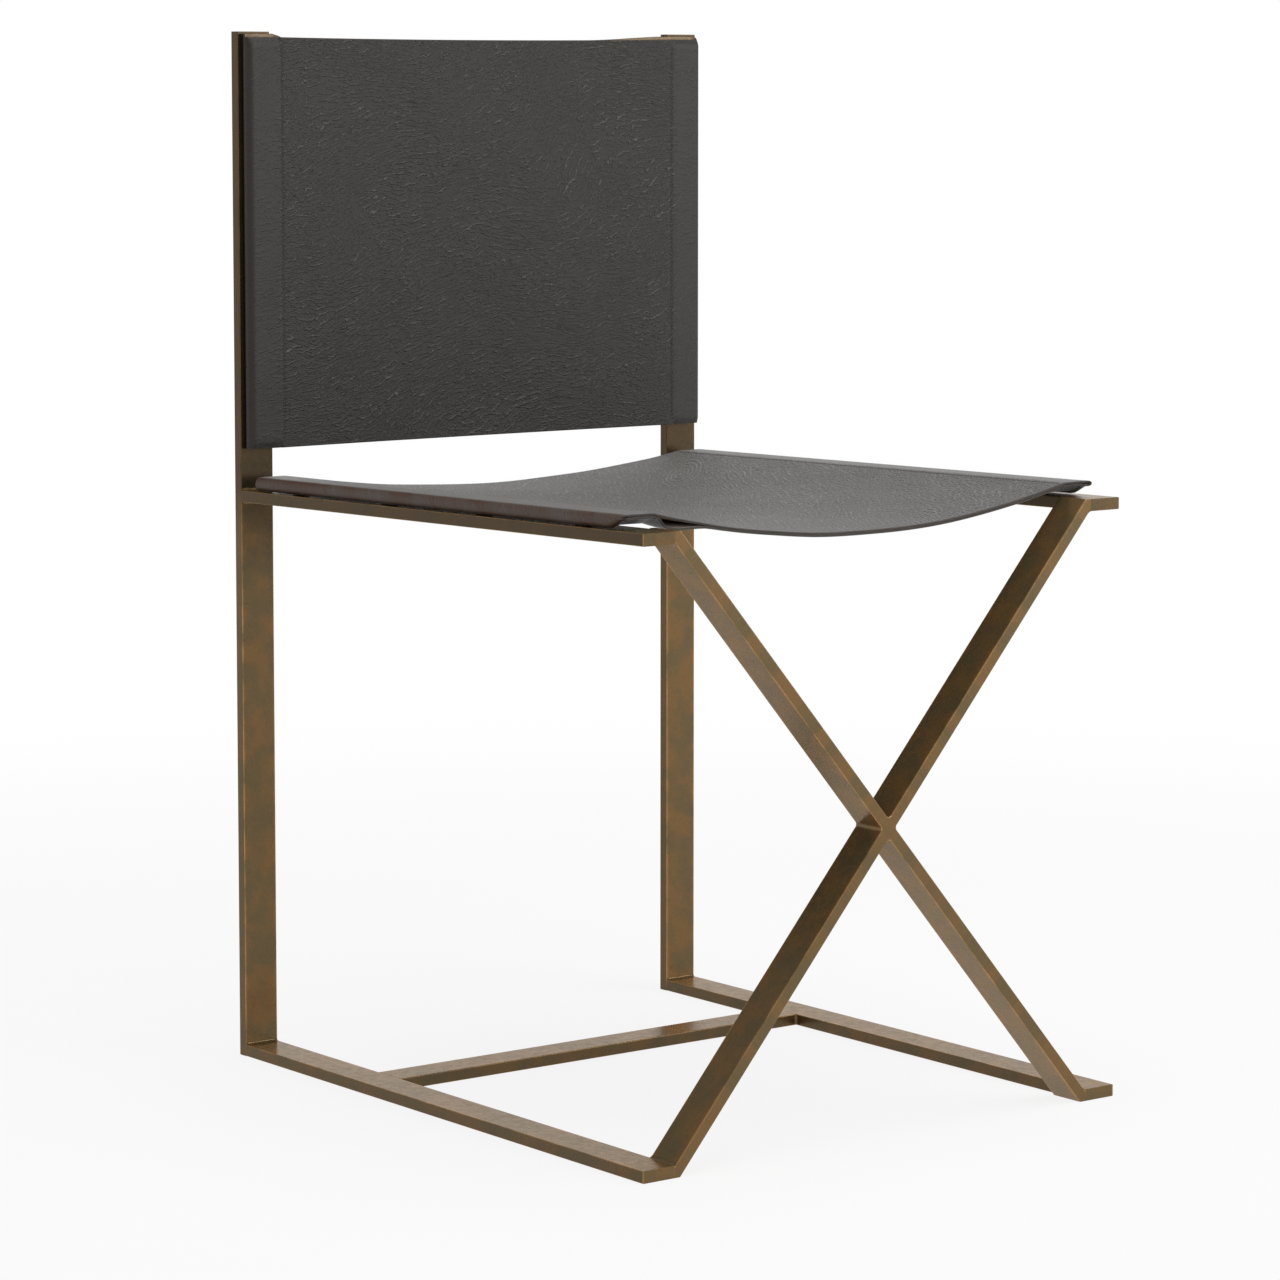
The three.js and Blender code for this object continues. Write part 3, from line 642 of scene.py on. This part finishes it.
# Slow waves of a hide that has been sat in, 60 to 140 mm long: each one's share of the height,
# radians per mm across and along the bars, and phase
RIPPLES = (
    (0.4, 0.041, 0.019, 0.4),
    (0.3, 0.067, -0.043, 2.1),
    (0.25, -0.029, 0.071, 4.0),
    (0.15, 0.083, 0.061, 1.2),
    (0.1, 0.012, 0.104, 5.2),
)


def slow_ripple(x, y):
    """Sum of the slow waves, each a sine of its run across and along the bars."""
    return sum(share * np.sin(by_x * x + by_y * y + phase) for share, by_x, by_y, phase in RIPPLES)


def seat_edges(x, y, z, under, in_sleeve):
    """Where no bar fills the front of a sleeve, its mouth is squeezed towards the upper layer. At
    the left front corner the under layer has come away from the upper and hangs."""
    squeeze_share, squeeze_run = 0.7, (2, 19)
    droop, droop_run, droop_rise, droop_fall = 6, (6, 70), (148, 190), (192, 201)
    from_front = y - SEAT["start"]
    shut = squeeze_share * (1 - smoothstep(from_front, *squeeze_run))
    upper = LEATHER_FACE - HALF_THICK
    z = upper - (upper - z) * (1 - shut * in_sleeve)
    hanging = smoothstep(-x, *droop_rise) * (1 - smoothstep(-x, *droop_fall))
    return y, z - droop * under * hanging * (1 - smoothstep(from_front, *droop_run))


def back_edges(x, y, z, under, in_sleeve):
    """The front of the sleeves lies back at both ends, where the bar stops. At the top the under
    layer, here the rear one, stands higher by the sleeves, the edge between them dips, and on the
    right the two layers splay."""
    head_lean, head_run, foot_lean, foot_run = 2.4, (-5.5, 1), 1.2, (0, 5)
    splay, splay_run, splay_rise, splay_fall = 2.6, (-22, 0), (112, 165), (190, 201)
    stand, dip, stand_run, stand_left, stand_right = 2.8, 1.4, (-45, 0), (199, 205), (112, 203)
    from_foot, from_head = y - BACK["start"], y - BACK["end"]
    lean = head_lean * smoothstep(from_head, *head_run)
    lean = lean + foot_lean * (1 - smoothstep(from_foot, *foot_run))
    z = z - lean * (1 - under) * in_sleeve
    apart = smoothstep(x, *splay_rise) * (1 - smoothstep(x, *splay_fall))
    z = z - splay * under * apart * smoothstep(from_head, *splay_run)
    tall = smoothstep(-x, *stand_left) + smoothstep(x, *stand_right)
    hollow = np.clip(1 - (x / BAR_EDGE_X) ** 2, 0, 1)
    return y + smoothstep(from_head, *stand_run) * (stand * under * tall - dip * hollow), z


def lay_on_seat_rails(x, y, z):
    """Distance y runs back along the falling rails, and z is the height above them."""
    return np.stack([x, FRONT_Y + y, SEAT_HEIGHT + z - y * SEAT_FALL / RAIL_LENGTH], -1)


def hang_on_uprights(x, y, z):
    """Distance y is the height above the floor, and z the distance in front of the uprights."""
    return np.stack([x, UPRIGHT_FRONT_Y - z, y], -1)


SEAT = {
    "start": SEAT_FRONT_SETBACK,
    "end": RAIL_LENGTH - SEAT_REAR_SETBACK,
    "sag": SEAT_SAG,
    "ripple": 0.45,
    "edges": seat_edges,
    "place": lay_on_seat_rails,
}
BACK = {
    "start": SEAT_HEIGHT + BACK_RISE,
    "end": FRAME_HEIGHT - BACK_TOP_DROP,
    "sag": (BACK_BOW, BACK_BOW),
    "ripple": 0.3,
    "edges": back_edges,
    "place": hang_on_uprights,
}


def sling_mid(sling, s, y):
    """Mid surface of a sling at distance s round the loop and y along the bars. The loop's path gives
    x and the height z off the steel, and the sling's edges have their own bends. The sheet hangs
    below by the sag times 1 - (x / bar edge)^2, rounded off over the bar's edge, is drawn in along
    the seams and ripples slowly. `under` is 1 on the layer towards the steel, 0 on the other."""
    rounding, ripple_rise = 0.02, 4
    seam_width, seam_run, pull_down, pull_up = 1.1, (2, 7), 0.45, 0.3
    x = np.interp(s, LOOP_S, LOOP_X, period=LOOP_LENGTH)
    z = np.interp(s, LOOP_S, LOOP_Z, period=LOOP_LENGTH)
    # The layers blend over 6 mm of the roll, and sheet and sleeve over 3 mm at the seam
    under = smoothstep(from_top(s), OUTER_EDGE_S - 3, OUTER_EDGE_S + 3)
    side = np.abs(x)
    in_sleeve = smoothstep(side, SEAM_X - 0.5, SEAM_X + 2.5)
    from_cut = np.minimum(y - sling["start"], sling["end"] - y)
    share = (y - sling["start"]) / (sling["end"] - sling["start"])
    y, z = sling["edges"](x, y, z, under, in_sleeve)
    bare = 1 - (x / BAR_EDGE_X) ** 2
    hang = (bare + np.sqrt(bare**2 + rounding**2)) / 2
    depth = sling["sag"][0] + (sling["sag"][1] - sling["sag"][0]) * share
    z = z - depth * hang + sling["ripple"] * slow_ripple(x, y) * np.clip(bare * ripple_rise, 0, 1)
    stitched = np.exp(-(((side - STITCH_X) / seam_width) ** 2)) * smoothstep(from_cut, *seam_run)
    z = z + stitched * (pull_up * under - pull_down * (1 - under))
    return sling["place"](x, y, z)


def sling_normal(sling, s, y):
    """Outward normal of the mid surface, from its differences over 0.3 mm."""
    reach = 0.15
    by_s = sling_mid(sling, s + reach, y) - sling_mid(sling, s - reach, y)
    by_y = sling_mid(sling, s, y + reach) - sling_mid(sling, s, y - reach)
    across = np.cross(by_s, by_y)
    return across / np.linalg.norm(across, axis=-1, keepdims=True)


def leather_sling(name, sling, material, rests_on):
    """A loop of leather as a closed shell: the mid surface moved out by half the thickness, the same
    moved in, and a rim at each cut end. Over the last 0.7 mm before a cut the half thickness falls
    to 0.35 of itself along a quarter circle, which eases the edges. Rows are closest together round
    the sleeves, at the seams and at the cuts."""
    upper_step, under_step, seam_step, roll_step, cut_step = 3.8, 7.0, 0.75, 0.8, 0.22
    seam_reach, roll_reach = 3, 4  # how far the smallest steps go before they grow
    ease, cut_share, edge_run, flesh_run = 0.7, 0.35, (0.3, 1.3), (0.2, 0.8)
    fine = np.linspace(0, LOOP_LENGTH, FINE_PLACES)
    side = np.abs(np.interp(fine + JOIN_S, LOOP_S, LOOP_X, period=LOOP_LENGTH))
    step = np.where(from_top(fine + JOIN_S) < OUTER_EDGE_S, upper_step, under_step)
    step = np.minimum(step, seam_step + 0.3 * np.maximum(np.abs(side - SEAM_X) - seam_reach, 0))
    step = np.minimum(step, roll_step + 0.35 * np.maximum(SLEEVE_OUTER - roll_reach - side, 0))
    s = spread_places(fine, step)[:-1] + JOIN_S - LOOP_LENGTH
    length = sling["end"] - sling["start"]
    fine = np.linspace(0, length, FINE_PLACES)
    step = np.clip(cut_step + 0.4 * np.minimum(fine, length - fine), cut_step, upper_step)
    y = sling["start"] + spread_places(fine, step)
    from_cut = np.minimum(y - sling["start"], sling["end"] - y)
    grid_s, grid_y = np.meshgrid(s, y, indexing="ij")
    middle, out = sling_mid(sling, grid_s, grid_y), sling_normal(sling, grid_s, grid_y)
    eased = np.sqrt(1 - (1 - np.clip(from_cut / ease, 0, 1)) ** 2)
    half = DRAWN_HALF * (cut_share + (1 - cut_share) * eased)
    outer = middle + out * half[None, :, None]
    inner = middle - out * half[None, :, None]
    rows, columns = grid_s.shape
    count = rows * columns
    quads = grid_quads(rows, columns, round_rows=True)
    number = np.arange(rows)
    following = (number + 1) % rows
    first, last = number * columns, number * columns + columns - 1
    next_first, next_last = following * columns, following * columns + columns - 1
    near_rim = np.stack([first, first + count, next_first + count, next_first], -1)
    far_rim = np.stack([last, next_last, next_last + count, last + count], -1)
    faces = np.concatenate([quads, quads[:, ::-1] + count, near_rim[:, ::-1], far_rim[:, ::-1]])
    cut = np.broadcast_to(1 - smoothstep(from_cut, *edge_run), (rows, columns)).ravel()
    flesh = np.broadcast_to(smoothstep(from_cut, *flesh_run), (rows, columns)).ravel()
    place = np.stack([grid_s.ravel(), grid_y.ravel()], -1)
    place = np.concatenate([place, place])[faces]
    # The hide is joined under the left seam, so its last row ends a whole loop further on
    place[..., 0] += LOOP_LENGTH * (place[..., 0] < place[..., 0].max(1, keepdims=True) - LOOP_LENGTH / 2)
    piece = add_piece(
        name,
        np.concatenate([outer.reshape(-1, 3), inner.reshape(-1, 3)]),
        [faces],
        material,
        replaces=(rests_on,),
        values={"edge": np.concatenate([cut, cut]), "flesh": np.concatenate([np.zeros(count), flesh])},
        flat_place=place.reshape(-1, 2),
    )
    return piece, (LOOP_LENGTH * 0.001, length * 0.001)


def seam_stitches(name, sling, material):
    """Saddle stitches along both seams, on both faces. Every stitch is the same bead of thread,
    2.8 mm long and 0.7 mm thick, whose ends dive into the leather: its axis rises as a parabola, and
    rings of six points stand round it. Copies are placed by the surface's tangent and normal."""
    pitch, half_length, thread_radius, rise, dive = 3.5, 1.4, 0.36, 0.14, 0.5
    first_inset, last_inset, rings, ring_points = 5.5, 5, 7, 6
    y = np.arange(sling["start"] + first_inset, sling["end"] - last_inset, pitch)
    seams = [STITCH_X, LOOP_LENGTH - STITCH_X, UNDER_STITCH_S, LOOP_LENGTH - UNDER_STITCH_S]
    s, y = (a.ravel() for a in np.meshgrid(seams, y, indexing="ij"))
    normal = sling_normal(sling, s, y)
    tangent = sling_mid(sling, s, y + 0.5) - sling_mid(sling, s, y - 0.5)
    tangent /= np.linalg.norm(tangent, axis=-1, keepdims=True)
    across = np.cross(tangent, normal)
    at = sling_mid(sling, s, y) + normal * DRAWN_HALF
    share = np.linspace(-1, 1, rings)[:, None]
    turn = np.linspace(0, 2 * math.pi, ring_points, endpoint=False)[None, :]
    radius = thread_radius * np.sqrt(np.clip(1.04 - share**4, 0, 1))
    axis_height = rise - dive * share**2
    height, aside = axis_height + radius * np.sin(turn), radius * np.cos(turn)
    shape = np.stack(np.broadcast_arrays(half_length * share, height, aside), -1).reshape(-1, 3)
    points = at[:, None] + sum(
        shape[None, :, i, None] * axis[:, None] for i, axis in enumerate((tangent, normal, across))
    )
    quads = grid_quads(rings, ring_points, round_columns=True)
    caps = np.stack([np.arange(ring_points)[::-1], np.arange(ring_points) + (rings - 1) * ring_points])
    starts = np.arange(len(s))[:, None, None] * len(shape)
    faces = [(quads[None] + starts).reshape(-1, 4), (caps[None] + starts).reshape(-1, ring_points)]
    piece = add_piece(name, points.reshape(-1, 3), faces, material)
    return piece


# Camera, light and floor


def stand_camera():
    """Where the photograph was taken from, with a slight shift that keeps the uprights upright."""
    focal_pixels, photo_width, sensor_width = 4469.1, 1280, 36
    data = bpy.data.cameras.new("camera")
    data.lens = focal_pixels / photo_width * sensor_width
    data.sensor_width = sensor_width
    data.shift_y = -0.1
    data.clip_end = 100
    camera = bpy.data.objects.new("camera", data)
    camera.location = (-2.1892, -2.8334, 0.8095)
    camera.rotation_euler = (math.radians(90 - 5.565), 0, math.radians(-37.336))
    bpy.context.collection.objects.link(camera)
    bpy.context.scene.camera = camera


def add_softbox(name, place, aim, side, power):
    """A large square lamp at `place`, turned towards `aim`."""
    data = bpy.data.lights.new(name, "AREA")
    data.shape = "RECTANGLE"
    data.size = data.size_y = side
    data.energy = power
    lamp = bpy.data.objects.new(name, data)
    lamp.location = place
    towards = np.array(aim, float) - place
    flat = math.hypot(towards[0], towards[1])
    tilt, turn = math.atan2(flat, -towards[2]), math.atan2(towards[1], towards[0])
    lamp.rotation_euler = (tilt, 0, turn - math.pi / 2)
    bpy.context.collection.objects.link(lamp)


def seen_directly(tree):
    """1 for a ray from the camera, also by way of metal or glass, and 0 for one that only lights."""
    path = add_node(tree, "LightPath")
    seen = path.outputs["Is Camera Ray"]
    for ray in ("Is Glossy Ray", "Is Transmission Ray"):
        seen = add_node(tree, "Math", {0: seen, 1: path.outputs[ray]}, operation="MAXIMUM")
    return seen


def light_studio():
    """A white sweep all round that fades to grey overhead, and soft lamps in front."""
    world = bpy.data.worlds.new("studio")
    world.use_nodes = True
    tree = world.node_tree
    tree.nodes.clear()
    way = add_node(tree, "TexCoord").outputs["Generated"]
    height = add_node(tree, "SeparateXYZ", {0: way}).outputs[2]
    shade = add_node(tree, "MapRange", {0: height, 1: 0.16, 2: 0.62, 3: 1.0, 4: 0.3}, **SMOOTHLY)
    # It lights the chair at less than full white, so that the lamps can model it
    level = add_node(tree, "MapRange", {0: seen_directly(tree), 3: 0.8, 4: 1})
    strength = add_node(tree, "Math", {0: shade, 1: level}, operation="MULTIPLY")
    sweep = add_node(tree, "Background", {"Color": (1, 1, 1, 1), "Strength": strength})
    output = add_node(tree, "OutputWorld")
    tree.links.new(sweep.outputs[0], output.inputs[0])
    bpy.context.scene.world = world
    chair_middle = (0, 0, 0.4)
    add_softbox("key", place=(2.3, -2.9, 1.5), aim=chair_middle, side=2.2, power=52)
    add_softbox("top", place=(0.2, -0.3, 3.2), aim=chair_middle, side=2.4, power=60)


def lay_floor():
    """A pale floor that the camera and reflections see nearly white, with a soft shadow left in."""
    half_side = 9
    corners = [(x * half_side, y * half_side, 0) for x, y in ((-1, -1), (1, -1), (1, 1), (-1, 1))]
    mesh = bpy.data.meshes.new("floor")
    mesh.from_pydata(corners, [], [(0, 1, 2, 3)])
    floor = bpy.data.objects.new("floor", mesh)
    bpy.context.collection.objects.link(floor)
    material, tree, output = new_material("pale_floor")
    place = add_node(tree, "TexCoord").outputs["Object"]
    reach = add_node(tree, "VectorMath", {0: place}, operation="LENGTH")
    # From 0.8 to 2.2 m from the chair's middle it fades into the white sweep
    glow = add_node(tree, "MapRange", {0: reach, 1: 0.8, 2: 2.2, 3: 0.86, 4: 1.0}, **SMOOTHLY)
    share = add_node(tree, "Math", {0: seen_directly(tree), 1: glow}, operation="MULTIPLY")
    painted = add_node(tree, "BsdfDiffuse", {"Color": (0.8, 0.8, 0.8, 1)})
    lit = add_node(tree, "Emission", {"Color": (1, 1, 1, 1), "Strength": 1})
    both = add_node(tree, "MixShader", {0: share, 1: painted, 2: lit})
    tree.links.new(both.outputs[0], output.inputs[0])
    floor.data.materials.append(material)


stand_camera()
light_studio()
lay_floor()
bpy.context.scene.view_settings.view_transform = "Standard"

# Finishes of the CAD bars, screws and spacers

STRETCHER_MIDDLE = STRETCHER_REAR_Y - BAR_WIDTH / 2
TOP_RAIL_MIDDLE = TOP_RAIL_Z - BAR_WIDTH / 2
FINISHES = {
    "upright": patinated_steel("patinated_uprights", "Z", "X", RAIL_X),
    "base_rail": patinated_steel("patinated_base_rails", "Y", "X", RAIL_X),
    # The seat rails get more painted shade, on their sides and on their tops under the leather's sleeves
    "seat_rail": patinated_steel("patinated_seat_rails", "Y", "X", RAIL_X, thin_painted_shade=0.8, wide_painted_shade=0.3),
    "stretcher": patinated_steel("patinated_stretcher", "X", "Y", STRETCHER_MIDDLE),
    "top_back_rail": patinated_steel("patinated_top_rail", "X", "Z", TOP_RAIL_MIDDLE),
    "sling_bar": zinc_plate(),
    "screw": black_oxide(),
}
FINISHES["spacer"] = FINISHES["screw"]
WELDED = patinated_steel("patinated_welded_steel", thin_painted_shade=0)

for node_name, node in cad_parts.items():
    for key, finish in FINISHES.items():
        if key in node_name:
            node.data.materials[0] = finish

# New pieces

front_cross(WELDED)
corner_welds(WELDED)
THREAD = bonded_thread()
SEAT_LEATHER = saddle_leather(
    "cowhide_seat",
    dye=("#4F4C49", "#5C5853"),
    # The fold over the bars is painted darker and browner in this colour, as shade and a warm reflection
    fold_shade_colour="#4B3426",
    pull=2,
    pull_turn=45,
    relief_depth=0.6,
    growth_marks=[((131, 425), 18, 3.2)],
    bloom=0.22,
    pebbling=1.0,
    pebble=2.2,
)
BACK_LEATHER = saddle_leather(
    "cowhide_back",
    dye=("#2B2827", "#33302D"),
    fold_shade_colour="#2C2420",
    pull=1,
    pull_turn=0,
    relief_depth=0.8,
    pebbling=0.28,
)
for part, sling, hide in (("seat", SEAT, SEAT_LEATHER), ("back", BACK, BACK_LEATHER)):
    leather, flat_size = leather_sling(f"{part}_leather", sling, hide, f"{part}_sling")
    thread = seam_stitches(f"{part}_stitches", sling, THREAD)
